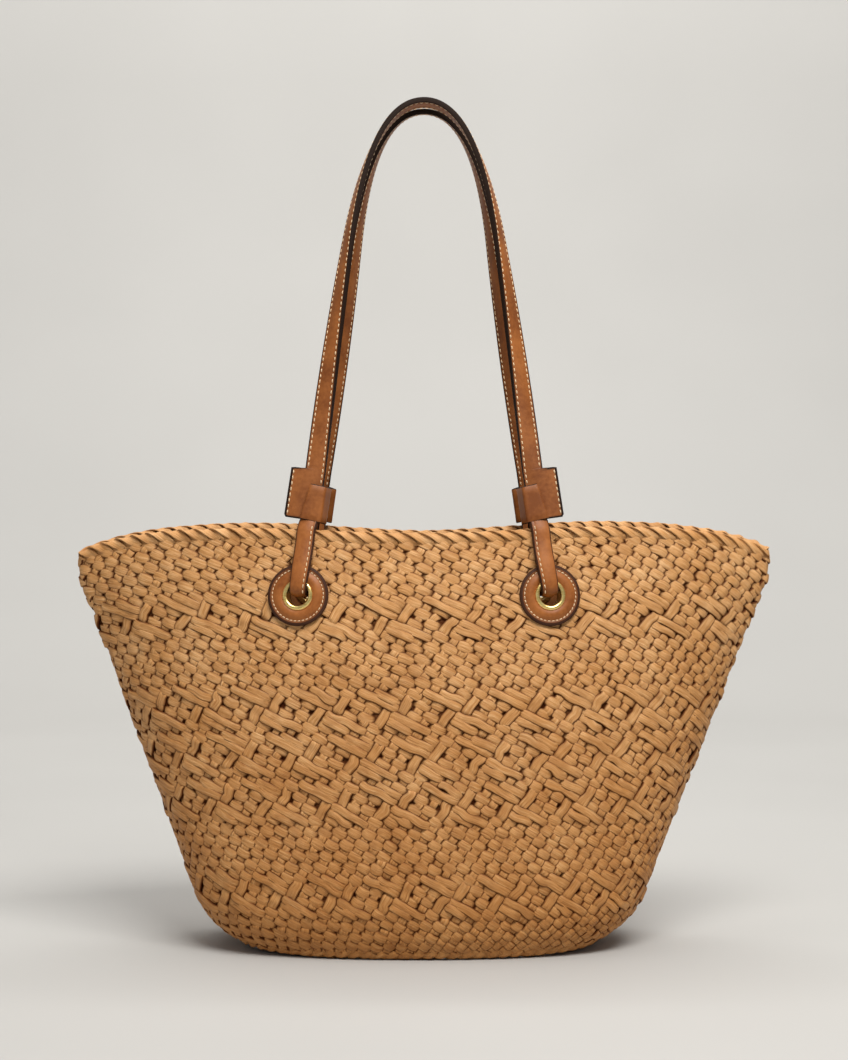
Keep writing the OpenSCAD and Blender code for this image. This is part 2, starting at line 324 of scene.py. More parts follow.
class Nodes:
    """A short way to write a node material."""

    def __init__(self, name):
        self.material = bpy.data.materials.new(name)
        self.material.use_nodes = True
        self.tree = self.material.node_tree
        self.shader = self.tree.nodes["Principled BSDF"]

    def add(self, kind, inputs=(), **settings):
        node = self.tree.nodes.new("ShaderNode" + kind)
        for key, value in settings.items():
            setattr(node, key, value)
        for key, value in dict(inputs).items():
            self.put(node.inputs[key], value)
        return node

    def put(self, socket, value):
        if isinstance(value, bpy.types.NodeSocket):
            self.tree.links.new(value, socket)
        else:
            socket.default_value = value

    def noise(self, vector, scale, detail=3.0, rough=0.55):
        inputs = {"Vector": vector, "Scale": scale, "Detail": detail, "Roughness": rough}
        return self.add("TexNoise", inputs).outputs["Fac"]

    def stretch(self, vector, scale):
        node = self.add("Mapping", {"Vector": vector, "Scale": scale})
        return node.outputs["Vector"]

    def math(self, operation, a, b=0.0, c=0.0):
        node = self.add("Math", operation=operation)
        for socket, value in zip(node.inputs, (a, b, c)):
            self.put(socket, value)
        return node.outputs[0]

    def total(self, *parts):
        """The sum of some values, each times its share."""
        result = 0.0
        for value, share in parts:
            result = self.math("MULTIPLY_ADD", value, share, result)
        return result

    def ramp(self, value, *stops):
        """Colours between stops of place and colour. A number stands for a grey."""
        node = self.add("ValToRGB", {"Fac": value})
        ramp = node.color_ramp
        while len(ramp.elements) < len(stops):
            ramp.elements.new(0.5)
        for element, (place, colour) in zip(ramp.elements, stops):
            element.position = place
            element.color = colour if isinstance(colour, tuple) else (colour, colour, colour, 1)
        return node.outputs["Color"]

    def mix(self, share, a, b, blend="MIX"):
        node = self.add("Mix", data_type="RGBA", blend_type=blend, clamp_factor=True)
        for socket, value in ((0, share), (6, a), (7, b)):  # the factor and the two colours
            self.put(node.inputs[socket], value)
        return node.outputs[2]

    def mark(self, name, output="Fac"):
        return self.add("Attribute", attribute_name=name, attribute_type="GEOMETRY").outputs[output]

    def place(self):
        return self.add("TexCoord").outputs["Object"]

    def bump(self, height, strength, distance, under=None):
        inputs = {"Height": height, "Strength": strength, "Distance": distance}
        if under is not None:
            inputs["Normal"] = under
        return self.add("Bump", inputs).outputs["Normal"]

    def shade(self, colour, rough, shine, **values):
        values |= {"Base Color": colour, "Roughness": rough, "Specular IOR Level": shine}
        for key, value in values.items():
            self.put(self.shader.inputs[key], value)
        return self.material


def raffia_material(name, tone=1.0):
    """Fibres along each strand, dull patches, painted shade towards the foot, and painted shade in the gaps
    between strands.
    """
    n = Nodes(name)

    def tan(*rgb):
        return linear(*(tone * c for c in rgb))

    strand = n.mark("fibre", "Vector")
    depth = n.mark("depth")
    fine = n.noise(n.stretch(strand, (2.6, 0.11, 1.0)), 1.0, 4.0, 0.6)
    coarse = n.noise(n.stretch(strand, (0.75, 0.035, 1.0)), 1.0, 3.0)
    blotch = n.noise(n.place(), 34.0, 3.0)
    colour = n.ramp(
        n.total((fine, 0.55), (coarse, 0.30), (blotch, 0.25)),
        (0.34, tan(150, 93, 38)),
        (0.48, tan(191, 135, 76)),
        (0.58, tan(207, 154, 98)),
        (0.72, tan(232, 188, 136)),
    )
    split = n.ramp(fine, (0.30, 1), (0.40, 0))
    colour = n.mix(n.math("MULTIPLY", split, 0.45), colour, linear(128, 80, 38))
    patchy = n.noise(n.place(), 105.0, 1.0)
    dull = n.ramp(patchy, (0.36, 0.24), (0.52, 0))
    colour = n.mix(dull, colour, tan(150, 98, 50))
    # Painted shade: the colour is multiplied darker and warmer towards the bottom, below about 0.24 m.
    height = n.add("SeparateXYZ", {"Vector": n.place()}).outputs["Z"]
    height = n.math("MULTIPLY", height, 4.0)
    foot = n.ramp(height, (0.0, (0.82, 0.7, 0.51, 1)), (0.95, (0.99, 0.985, 0.975, 1)))
    colour = n.mix(1.0, colour, foot, "MULTIPLY")
    # Painted shade: the lower a point's mark, the more dark brown is mixed into its colour, and the less
    # specular it gets.
    shadow = n.ramp(depth, (0.0, 1), (0.34, 0.86), (0.78, 0))
    colour = n.mix(n.math("MULTIPLY", shadow, 0.98), colour, linear(66, 18, 0))
    rough = n.math("MULTIPLY_ADD", fine, 0.22, 0.52)
    wide = n.bump(coarse, 0.5, 0.0009)
    normal = n.bump(fine, 0.65, 0.0005, wide)
    shine = n.math("MULTIPLY_ADD", shadow, -0.3, 0.34)
    return n.shade(colour, rough, shine, Normal=normal)


def leather_material(name, light, dark, edge):
    """Clouded leather with fine grain, darker towards its edges and painted on them."""
    n = Nodes(name)
    place = n.place()
    cloud = n.noise(place, 46.0, 4.0)
    small = n.noise(place, 420.0, 3.0)
    colour = n.ramp(n.total((cloud, 0.72), (small, 0.28)), (0.36, dark), (0.62, light))
    edge_share = n.mark("edge")
    # Darker towards the edges and in the stitch grooves, where the edge share is below the paint.
    darker_near_edge = n.ramp(edge_share, (0.0, 0), (0.45, 0.75))
    colour = n.mix(darker_near_edge, colour, n.mix(0.5, dark, edge))
    paint = n.ramp(edge_share, (0.5, 0), (0.6, 1))
    colour = n.mix(paint, colour, edge)
    pores = n.add("TexVoronoi", {"Vector": place, "Scale": 1500.0}, feature="SMOOTH_F1")
    grain = n.total((pores.outputs["Distance"], 0.5), (small, 0.8))
    rough = n.math("MULTIPLY_ADD", small, 0.2, 0.36)
    rough = n.math("MULTIPLY_ADD", paint, 0.15, rough)
    shine = n.math("MULTIPLY_ADD", paint, -0.16, 0.28)
    normal = n.bump(grain, 0.2, 0.0003)
    return n.shade(colour, rough, shine, Normal=normal)


def thread_material():
    n = Nodes("waxed_thread")
    place = n.place()
    twist = n.noise(place, 2600.0, 2.0)
    colour = n.ramp(twist, (0.3, linear(196, 160, 118)), (0.7, linear(240, 214, 176)))
    return n.shade(colour, 0.55, 0.3, Normal=n.bump(twist, 0.4, 0.0002))


def brass_material():
    n = Nodes("polished_brass")
    place = n.place()
    rub = n.noise(n.stretch(place, (1.0, 1.0, 4.0)), 260.0, 4.0)
    colour = n.ramp(rub, (0.3, linear(240, 200, 112)), (0.7, linear(255, 234, 160)))
    rough = n.math("MULTIPLY_ADD", rub, 0.14, 0.22)
    return n.shade(colour, rough, 0.5, Metallic=1.0, Normal=n.bump(rub, 0.06, 0.0002))


def backdrop_material():
    n = Nodes("pale_paper")
    cloud = n.noise(n.place(), 2.0, 2.0)
    colour = n.ramp(cloud, (0.3, linear(182, 180, 176)), (0.7, linear(186, 184, 180)))
    return n.shade(colour, 0.9, 0.1)


RAFFIA = raffia_material("raffia_weave")
# Painted shade: the rim's raffia is a copy of the wall's made 1% darker, so that the braid renders at the
# wall's tone.
RIM_RAFFIA = raffia_material("raffia_rim", 0.99)
LEATHER = leather_material("tan_leather", linear(153, 91, 42), linear(117, 63, 24), linear(34, 21, 13))
PATCH_LEATHER = leather_material(
    "patch_leather", linear(163, 98, 45), linear(128, 70, 27), linear(66, 40, 27)
)
SUEDE = leather_material("tan_leather_back", linear(150, 96, 54), linear(116, 70, 36), linear(30, 19, 12))
THREAD = thread_material()
BRASS = brass_material()


def finish_piece(piece, material, slot, body=None, *nodes):
    piece.data.materials.append(material)
    if body:
        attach(piece, body)
    if nodes:
        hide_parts(*nodes)
    return piece


# ---- the weave
BANDS = (0, 2, 3, 4, 6)  # row levels, each four rows apart, that carry the long strands
PERIOD = 4
FIRST_LEVEL = 13  # half rows from the rim to the first long strand
PHASE = 0.5  # cells by which the whole weave is turned round the basket
STEPS = 4  # rings of points from one crossing to the next
PARTS = 3  # pieces that each family is shared between, to keep each mesh a fair size


def over_under():
    """Which family lies on top at each crossing: 1 where the flatter winding family does."""
    steps = int(2 * WALL.last) + 3
    top = np.zeros((CELLS, steps))
    top[:, ::2] = 1

    def turn_over(i, j, value):
        if 0 <= i - j < steps:
            top[j % CELLS, i - j] = value

    for band in BANDS:
        for m in range(CELLS // PERIOD):
            i = PERIOD * (m + band)
            j = i - FIRST_LEVEL - 2 * PERIOD * band
            for i, j, step in ((i, j, 1), (i + 3, j - 1, -1)):
                turn_over(i, j, 1)
                turn_over(i + step, j + step, 1)
                turn_over(i + 2 * step, j + step, 0)
    return top


def strand_sections(*counts):
    """Folded strips of raffia: rounded on top, flatter below, as width and thickness."""
    angles = np.radians([0, 34, 64, 90, 116, 146, 180, 228, 312])
    section = np.stack([squared(np.cos(angles), 0.68), squared(np.sin(angles), 0.72)], -1)
    return np.broadcast_to(section, counts + section.shape).copy()


def raffia_piece(name, node, grid, marks, depth, material=RAFFIA, closed=False):
    piece = skin(name, grid, closed=closed, fibre=marks, depth=depth)
    finish_piece(piece, material, "raffia", "basket", node)


def clear_of_eyelets(path, clear=12.5):
    """Moves the strands aside where an eyelet goes through the wall."""
    for flip in SIDES.values():
        eyelet = Eyelet(flip)
        from_centre = path * eyelet.flip - eyelet.centre
        x, y, h = (from_centre @ axis for axis in (eyelet.side, eyelet.up, eyelet.out))
        reach = np.hypot(x, y)
        near = within(2 - np.abs(h) / 12)
        push = near * ((reach**3 + clear**3) ** (1 / 3) / np.maximum(reach, 0.5) - 1)
        move = (x * push)[..., None] * eyelet.side + (y * push)[..., None] * eyelet.up
        path = path + move * eyelet.flip
    return path


def blended(pair, up):
    return pair[0] + (pair[1] - pair[0]) * up


def family(top, sideways, widths, heights, thicknesses, fat):
    """Paths and sections for one family. Each pair of values is for lying under and lying on top.

    fat holds how much narrower and higher the long strands are.
    """
    first, last = 0.9, 2 * LAST_ROW
    t = np.tile(np.arange(first, last, 1 / STEPS), (CELLS, 1))
    number = np.arange(CELLS)[:, None]
    row = t / 2
    jitter = RNG.normal(0, 1, (4,) + top.shape)
    up = ease(top, t)
    up = up * up * (3 - 2 * up)
    near = (ease(top, t) * 2 + ease(top, np.maximum(t - 1, 0)) + ease(top, t + 1)) / 4
    long_run = within((near - 0.52) / 0.2)
    wide = blended(widths, up) - fat[0] * long_run + 0.6 * up * ease(jitter[0], t)
    height = blended(heights, up) + fat[1] * long_run + 0.22 * ease(jitter[1], t)
    thick = blended(thicknesses, up) + 0.15 * ease(jitter[2], t)
    slide = 0.06 * ease(jitter[3], t) + PHASE
    place, out = WALL.at(number + sideways * t + slide, row + 0.06 * ease(jitter[2], t))
    path = clear_of_eyelets(place + out * height[..., None])
    path[..., 2] = np.maximum(path[..., 2], 1.4)
    shape = strand_sections(*t.shape)
    for point, amount in ((3, 0.1), (2, 0.01), (4, 0.01)):
        each = RNG.normal(amount, 0.1, (CELLS, 1))
        fold = np.clip(each + 0.14 * ease(RNG.normal(0, 1, top.shape), t), 0, 0.45)
        shape[..., point, 1] -= fold * up * (0.5 + 0.9 * long_run)
    grid = sweep(path, out, wide, thick, shape)
    grid[..., 2] = np.maximum(grid[..., 2], FLOOR_GAP)
    marks = fibre_marks(path, shape, wide, RNG.uniform(0, 50, CELLS))
    # Painted shade: points low in the weave and towards a strand's sides get a low mark, which the raffia
    # material paints dark.
    level = height[..., None] + shape[..., 1] * (thick / 2)[..., None]
    side = 1 - 0.95 * np.abs(shape[..., 0]) ** 3.8
    depth = within(np.maximum((level + 0.3) / 2.2, (-level - 0.3) / 1.3)) * side
    return grid, marks, depth


def weave_wall():
    top = over_under()
    steps = top.shape[1]
    i, t = np.arange(CELLS)[:, None], np.arange(steps)[None, :]
    other = 1 - top[(i - t) % CELLS, t]
    flat = family(top, 0.75, (6.2, 8.3), (-0.8, 0.95), (1.9, 3.1), (1.7, 0.8))
    steep = family(other, -0.25, (6.8, 7.0), (-0.6, 0.95), (1.6, 2.5), (-0.6, 0.5))
    for name, (grid, marks, depth) in (("wall_strand_flat", flat), ("wall_strand_steep", steep)):
        for part in range(PARTS):
            some = slice(part * CELLS // PARTS, (part + 1) * CELLS // PARTS)
            raffia_piece(f"{name}_{part + 1}", "woven_wall", grid[some], marks[some], depth[some])


def wall_core():
    """The thin middle of the wall, seen only deep between the strands, dark with painted shade."""
    outside, inside, lowest = -0.5, -0.9, 0.4
    rows = np.linspace(0.9, LAST_ROW, 56)
    around = np.arange(0, CELLS, 0.25)
    around, row = np.meshgrid(around, np.concatenate([rows, rows[::-1]]), indexing="ij")
    height = np.repeat([outside, inside], len(rows))
    place, out = WALL.at(around[None], row[None])
    grid = clear_of_eyelets(place + out * height[:, None])
    grid[..., 2] = np.maximum(grid[..., 2], lowest)
    marks = np.stack([grid[..., 0] * 0.4, grid[..., 2] * 3, 0 * grid[..., 2]], -1)
    # Painted shade: the whole sheet gets a low mark, so the raffia material paints it in its dark shade
    # colour.
    core = skin("wall_core", grid, closed=True, fibre=marks, depth=0.12)
    open_at_eyelets(core, 2 * len(rows))
    finish_piece(core, RAFFIA, "raffia", "basket", "woven_wall")


def open_at_eyelets(core, points):
    """Takes out the faces stretched over the eyelets' holes, and closes the two sheets' edges there."""
    stretched = 9 * MM
    mesh = bmesh.new()
    mesh.from_mesh(core.data)
    verts = list(mesh.verts)
    twin = {vert: verts[vert.index // points * points + points - 1 - vert.index % points] for vert in verts}
    over = [
        face for face in mesh.faces
        if all(vert.index % points < points // 2 for vert in face.verts)
        and max(edge.calc_length() for edge in face.edges) > stretched
    ]
    gone = set(over)
    rims = (edge for face in over for edge in face.edges if not gone.issuperset(edge.link_faces))
    edges = [tuple(edge.verts) for edge in rims]
    over += [mesh.faces.get([twin[vert] for vert in face.verts]) for face in over]
    bmesh.ops.delete(mesh, geom=over, context="FACES")
    for a, b in edges:
        mesh.faces.new((a, b, twin[b], twin[a])).smooth = True
    bmesh.ops.recalc_face_normals(mesh, faces=mesh.faces)
    mesh.to_mesh(core.data)
    mesh.free()


SHINGLE = 0.2  # how far each folded strand tips, so that its edge lies over the next one


def rim_braid():
    """Folded strands that wrap over the rim, each on a slant, round a core."""
    count, rings = CELLS, 17
    angle = np.radians(np.linspace(-52, 235, rings))[None, :]
    along = np.interp(np.linspace(0, 1, rings), (0, 0.5, 1), (1.2, -0.2, -1.2))[None, :]
    number = np.arange(count)[:, None]
    jitter = RNG.normal(0, 1, (3, count, 1))
    place, out = WALL.at(number + 0.35 + along + 0.04 * jitter[0], np.full((count, rings), 0.5))
    out = unit(out * np.array([1, 1, 0.15]))
    radius_out, radius_up = 2.1 + 0.1 * jitter[1], 3.9 + 0.1 * jitter[2]
    side, rise_by = np.cos(angle) * radius_out, np.sin(angle) * radius_up
    up = np.array([0, 0, 1.0])
    path = place + out * side[..., None] + up * (rise_by - 0.4)[..., None]
    normal = unit(out * np.cos(angle)[..., None] + up * np.sin(angle)[..., None])
    share = np.linspace(-1, 1, rings)[None, :]
    wide = (3.2 + (4.7 + share) * (1 - share**4) ** 0.6) * (1 + 0.04 * jitter[0])
    thick = 1.3 + 0.7 * (1 - share**2)
    shape = strand_sections(count, rings)
    shape[..., 1] += SHINGLE * (1 - 0.75 * np.sin(angle)[..., None] ** 4) * shape[..., 0]
    grid = sweep(path, normal, wide, thick, shape)
    corner = half_w(BODY_H)
    past = np.maximum(np.abs(grid[..., 0]) - corner - 2.6, 0)
    grid[..., 0] -= 0.7 * past * np.sign(grid[..., 0])
    # Painted shade on the wraps' undersides and sides, with less of it near the rim's two corners.
    depth = within(0.9 + 0.25 * shape[..., 1]) * (1 - 0.45 * np.abs(shape[..., 0]) ** 4)
    depth = 1 - (1 - depth) * np.clip((corner - np.abs(grid[..., 0])) / 25, 0.35, 1)
    marks = fibre_marks(path, shape, wide, RNG.uniform(0, 50, count))
    raffia_piece("rim_wraps", "rim_braid", grid, marks, depth, RIM_RAFFIA)
    around = np.linspace(0, CELLS, 505)[None, :-1]
    place, out = WALL.at(around, np.full(around.shape, 0.62))
    wide, thick = 7.6, 3.9
    grid = closed_sweep(place, out, wide, thick, oval(8))
    marks = fibre_marks(place, oval(8), wide, np.zeros(1))
    # Painted shade: the core gets a little all over.
    raffia_piece("rim_core", "rim_braid", grid, marks, 0.7, RIM_RAFFIA, closed=True)


def closed_sweep(path, out, wide, thick, shape):
    """As sweep, for paths that end where they begin and keep one section all the way."""
    pad = 3
    path, out = (np.concatenate([a[:, -pad:], a, a[:, :pad]], 1) for a in (path, out))
    return sweep(path, out, wide, thick, shape)[:, pad:-pad]


def base_edge():
    """Two strands twisted together where the wall meets the base."""
    count, twists, reach = 2, 38, 1.3
    around = np.linspace(0, CELLS, 841)[:-1]
    phase = 2 * pi * (twists * around / CELLS + np.arange(count)[:, None] / count)
    around = np.broadcast_to(around, phase.shape)
    place, out = WALL.at(around, np.full(around.shape, LAST_ROW - 0.7))
    out = unit(out * np.array([1, 1, 0.4]))
    down = np.cross(out, unit(np.roll(place, -1, 1) - place))
    path = place + out * (reach * np.cos(phase) + 0.3)[..., None] + down * (reach * np.sin(phase))[..., None]
    wide, thick, shape = 5.2, 2.8, strand_sections()
    grid = closed_sweep(path, out, wide, thick, shape)
    grid[..., 2] = np.maximum(grid[..., 2], FLOOR_GAP)
    # Painted shade where a strand turns inwards, behind the other, and on its underside.
    depth = within(0.5 + 0.28 * np.cos(phase)[..., None] + 0.3 * shape[..., 1])
    marks = fibre_marks(path, shape, wide, np.array([3.0, 9.0]))
    raffia_piece("base_edge_twist", "woven_base", grid, marks, depth, closed=True)


def base_plate():
    """Plain weave on the slant, cut to the oval where the wall starts."""
    pitch, rings, inset, level, swing = 8.2, 72, 1.0, 2.5, 0.85
    a, b, p = half_w(2.0) - inset, half_d(2.0) - inset, pinch(2.0)
    for name, turn, sign in (("one_way", 45, 1), ("other_way", -45, -1)):
        ahead = np.array([cos(radians(turn)), sin(radians(turn))])
        aside = np.array([-ahead[1], ahead[0]])
        paths, waves = [], []
        for m in range(-16, 17):
            across = aside[:, None] * (m * pitch)
            along = np.linspace(-160, 160, 2001)
            x, y = across + ahead[:, None] * along
            inside = (np.abs(x) < a) & (np.abs(y) < b * np.maximum(0, 1 - (x / a) ** 2) ** p)
            if inside.sum() < 60:
                continue
            along = np.linspace(along[inside][0], along[inside][-1], rings)
            x, y = across + ahead[:, None] * along
            wave = sign * np.cos(pi * (along / pitch + m))
            z = level + swing * wave + 0.8 * END_LIFT * (x / a) ** 4
            paths.append(np.stack([x - LEAN_LEFT, y, z], -1))
            waves.append(wave)
        path, wave = np.array(paths), np.array(waves)
        wide, thick, shape = 7.2 + 0.5 * wave, 1.7, strand_sections()
        grid = sweep(path, [0, 0, 1.0], wide, thick, shape)
        marks = fibre_marks(path, shape, wide, RNG.uniform(0, 50, len(path)))
        # Painted shade along each strand's sides.
        depth = within(0.6 + 0.3 * np.abs(shape[..., 1]) - 0.4 * np.abs(shape[..., 0]) ** 3)
        raffia_piece("base_strands_" + name, "woven_base", grid, marks, depth)


# ---- fittings
class Eyelet:
    """The local frame of one eyelet: sideways, up the wall and outwards."""

    def __init__(self, flip):
        self.flip = flip
        centre, out = front_point(EYE_X, EYE_Z), front_out(EYE_X, EYE_Z)
        side = unit(np.cross([0, 0, 1], out))
        self.centre, self.out, self.side, self.up = centre, out, side, np.cross(out, side)

    def place(self, x, y, h, follow=0.85):
        """A point in the frame, let down on to the wall's curve by the share that follow gives."""
        flat = self.centre + x[..., None] * self.side + y[..., None] * self.up
        wall_y = -front_depth(flat[..., 0], flat[..., 2])
        drop = (wall_y - flat[..., 1]) * self.out[1]
        point = flat + (h + follow * drop)[..., None] * self.out
        return point * self.flip


def disc(eyelet, name, profile, edge, follow, rough):
    """Turns a profile of radius and height round the eyelet. The profile starts below and ends inside."""
    around = 96
    r, h = np.array(profile, float).T
    a = 2 * pi * np.arange(around) / around
    x, y = r * np.cos(a)[:, None], r * np.sin(a)[:, None]
    wave = rough * (np.sin(3 * a + 1) + 0.6 * np.sin(5 * a))[:, None] * within((r - 11) / 8)
    grid = eyelet.place(x, y, h + wave, follow)[None]
    return skin(name, grid, closed=True, edge=edge)


def patch_profile(radius, hole, low, thick, dome):
    """Painted edge, stitch groove, domed ring and hole, as radius and height, with the share of paint."""
    top = low + thick
    points = [
        (hole, low, 0), (radius - 1.5, low, 0), (radius - 0.3, low + 0.15, 1), (radius, low + 0.7, 1),
        (radius, top - 0.8, 1), (radius - 0.4, top - 0.25, 1), (radius - 1.7, top - 0.02, 1),
        (radius - 2.0, top + 0.02, 0.45), (radius - 2.5, top, 0.4), (radius - 2.9, top - 0.2, 0.3),
        (radius - 3.3, top - 0.3, 0.2), (radius - 3.8, top - 0.2, 0.1),
        (radius - 4.4, top + 0.1 * dome, 0.02), (radius - 5.6, top + 0.6 * dome, 0),
        (radius - 7.2, top + dome, 0), (radius - 9.0, top + 0.85 * dome, 0),
        (radius - 10.4, top + 0.35 * dome, 0), (hole + 0.7, top - 0.25, 0.2), (hole, top - 0.7, 0.3),
    ]
    return [p[:2] for p in points], [p[2] for p in points]


def eyelet_profile(low, high):
    """A brass tube with its mouth rolled outwards."""
    roll, tube = 1.65, 0.7
    centre = EYE_R + roll
    points = [(EYE_R + tube, low), (EYE_R + tube, high - 0.6)]
    points += [(centre + roll, high - 0.3), (centre + roll + 0.05, high)]
    for a in np.radians(np.linspace(10, 172, 12)):
        points.append((centre + roll * cos(a), high + roll * 0.85 * sin(a)))
    return points + [(EYE_R, high - 0.4), (EYE_R, low)]


def fittings():
    low = WALL_T / 2 + 0.5
    back = -WALL_T / 2 - 1 - PATCH_T
    hole = EYE_R + 0.9
    patch, patch_edge = patch_profile(PATCH_R, hole, low, PATCH_T, 1.25)
    backing, backing_edge = patch_profile(PATCH_R - 3.4, hole, 0, PATCH_T, 0.1)
    backing = [(r, back + PATCH_T - h) for r, h in backing]
    brass = eyelet_profile(back - 1, low + PATCH_T + 0.1)
    discs = (
        ("_round_patch", patch, patch_edge, PATCH_LEATHER, "leather", "_patch", 0.85, 0.12),
        ("_backing_disc", backing[::-1], backing_edge[::-1], SUEDE, "leather", "_backing", 0.5, 0.0),
        ("_brass_eyelet", brass, [0] * len(brass), BRASS, "brass", "_eyelet", 0.0, 0.0),
    )
    for place, flip in SIDES.items():
        for name, profile, edge, material, slot, node, follow, rough in discs:
            piece = disc(Eyelet(flip), place + name, profile, edge, follow, rough)
            finish_piece(piece, material, slot, "basket", place + node)
        ring_of_stitches(Eyelet(flip), place, low + PATCH_T - 0.3)


def stitches(name, centres, ahead, out, body, nodes, long=2.7, thick=0.85):
    """One short thread for each centre, sunk at its ends where it goes into the leather."""
    rings, count, raised, sunk = 7, len(centres), 0.22, 0.42
    share = np.linspace(-1, 1, rings)
    lift = raised - (raised + sunk) * np.abs(share) ** 2.6
    lean = RNG.normal(0, 0.05, (count, 1)) * share + 0.09 * share
    aside = np.cross(out, ahead)
    path = centres[:, None] + ahead[:, None] * (share * long / 2)[None, :, None]
    path = path + out[:, None] * lift[None, :, None] + aside[:, None] * lean[..., None]
    wide = thick * (1 - 0.35 * share**4)
    grid = sweep(path, out[:, None], wide, wide * 0.8, oval(6, 1.0))
    return finish_piece(skin(name, grid), THREAD, "thread", body, *nodes)


def ring_of_stitches(eyelet, place, height):
    count, radius = 40, PATCH_R - 3.3
    a = 2 * pi * (np.arange(count) + 0.5) / count
    h = np.full(count, height)

    def at(r, angle, high):
        return eyelet.place(r * np.cos(angle), r * np.sin(angle), high)

    centres = at(radius, a, h)
    ahead = unit(at(radius, a + 0.02, h) - at(radius, a - 0.02, h))
    out = unit(at(radius, a, h + 1) - centres)
    stitches(place + "_patch_stitches", centres, ahead, out, "basket", ["patch_stitching"], 2.1, 0.75)


# ---- handles
def leg_at(z):
    return LEG_X + LEG_SLOPE * (LEG_Z - z)


LEAN = (KEEPER_Y - APEX_Y) / (APEX_Z - KEEPER_Z)
BACK_CROWN_DROP = 3.4  # the back handle's crown is a little lower than the front one's


def handle_y(z):
    return -APEX_Y - LEAN * (APEX_Z - z)


def half_arch():
    """Half of a handle, from the foot of its tab to the top, as sideways place and height."""
    z = np.concatenate([
        np.linspace(TAB_BASE, LEG_Z - 0.6, 24), np.linspace(LEG_Z - 0.3, LEG_Z + 0.6, 7),
        np.linspace(LEG_Z + 1.5, CROWN_Z, 90)[:-1],
    ])
    legs = np.stack([leg_at(z), z], -1)
    a = np.array([leg_at(CROWN_Z), CROWN_Z])
    b = a + CROWN_RISE * np.array([-LEG_SLOPE, 1])
    c, d = np.array([CROWN_REACH, APEX_Z]), np.array([0, APEX_Z])
    t = np.linspace(0, 1, 90)[:, None]
    curve = (1 - t) ** 3 * a + 3 * t * (1 - t) ** 2 * b + 3 * t * t * (1 - t) * c + t**3 * d
    return np.concatenate([legs, curve])


class Handle:
    """A whole handle's middle line, with its width direction towards the bag's middle and its outward one."""

    def __init__(self, front_back):
        half = half_arch()
        climb = within((half[:, 1] - LEG_Z) / (APEX_Z - LEG_Z))
        x, z = half[:, 0] + front_back * SPREAD * np.sin(pi * climb), half[:, 1]
        x[-1] = 0
        drop = BACK_CROWN_DROP * (front_back < 0) * within((z - CROWN_Z) / (APEX_Z - CROWN_Z)) ** 2
        left = np.stack([-x, handle_y(z), z - drop], -1)
        right = left[-2::-1] * np.array([-1, 1, 1])
        self.path = np.concatenate([left, right])
        climb = within((self.path[:, 2] - LEG_Z) / (APEX_Z - LEG_Z))
        turn = pi / 2 * climb**0.8
        self.plump = 1 + 0.22 * climb**2
        lean = atan(LEAN)
        side = np.where(np.arange(len(self.path)) < len(half), 1, -1)
        into = np.sin(turn)
        wide = np.stack([side * np.cos(turn), -into * cos(lean), into * sin(lean)], -1)
        ahead = unit(np.gradient(self.path, axis=0))
        self.across = unit(wide - (wide * ahead).sum(-1, keepdims=True) * ahead)
        self.out = np.cross(self.across, ahead)
        self.length = length_along(self.path)
        self.flip = np.array([1, front_back, 1.0])

    def at(self, length, across, out):
        tables = (self.path, self.across, self.out)
        place, wide, normal = (read_off(length, self.length, table) for table in tables)
        return (place + unit(wide) * across[..., None] + unit(normal) * out[..., None]) * self.flip

    def where(self, z):
        """Lengths at which the left and the right leg pass a height."""
        half = len(self.path) // 2
        low = float(np.interp(z, self.path[:half, 2], self.length[:half]))
        return low, float(self.length[-1]) - low


def layer_section(inner, outer, low, high, painted):
    """A leather layer's section: painted sides, rounded edges and a shallow groove under each seam."""
    middle = (inner + outer) / 2
    points = [(inner, low, 1), (outer, low, 1), (outer, high * 0.55 + low * 0.45, 1)]
    shoulder = (
        (0.12, 0.24, 1), (0.6, 0.06, 1), (0.9, 0, 0.3), (1.5, 0.02, 0.12), (2.0, 0.22, 0.08), (2.6, 0, 0),
    )
    for k, (step, sink, paint) in enumerate(shoulder):
        points.append((outer + (painted + 0.3 * (k - 1) if k in (1, 2) else step), high - sink, paint))
    points.append((middle, high + 0.1, 0))
    for step, sink, paint in shoulder[::-1]:
        points.append((inner - step, high - sink, paint))
    points.append((inner, high * 0.55 + low * 0.45, 1))
    return points


def outer_edge(handle):
    """How far the strap reaches away from the bag's middle: wide at the tabs, narrow above them."""
    z = handle.path[:, 2]
    step = within((LEG_Z - z) / 0.9 + 0.35) ** 0.5
    foot = within((z - TAB_BASE) / 1.2)
    return -(STRAP_W / 2 + (TAB_OUT - STRAP_W / 2) * step - 1.0 * (1 - foot**0.5) * (step > 0))


def handle_layers(handle, name, body):
    """The outer layer, one with its two tabs, and the lining, mirrored behind it."""
    outer = outer_edge(handle)
    painted = np.where(outer < -STRAP_W / 2 - 2, 1.5, 0.6)
    sections = [
        layer_section(STRAP_W / 2, edge, 0.03, STRAP_T / 2, paint) for edge, paint in zip(outer, painted)
    ]
    x, high, edge_share = np.moveaxis(np.array(sections), -1, 0)
    high = high * handle.plump[:, None]
    at_step = np.abs(handle.path[:, 2] - LEG_Z + 0.3)[:, None] < 0.6
    edge = np.where(at_step & (x < -STRAP_W / 2), 1, edge_share)
    edge[[0, -1]] = 1
    tabs = [f"{name.split('_')[0]}_{side}_tab" for side in ("left", "right")]
    layers = (
        ("outer", 1, "leather", [name, *tabs]),
        ("lining", -1, "leather_lining", [name + "_lining"]),
    )
    for layer, sign, slot, nodes in layers:
        grid = beside(handle.path, handle.across, handle.out, x, sign * high) * handle.flip
        piece = skin(f"{name}_{layer}_leather", grid[None], sharp=50, edge=edge[None])
        finish_piece(piece, LEATHER, slot, body, *nodes)


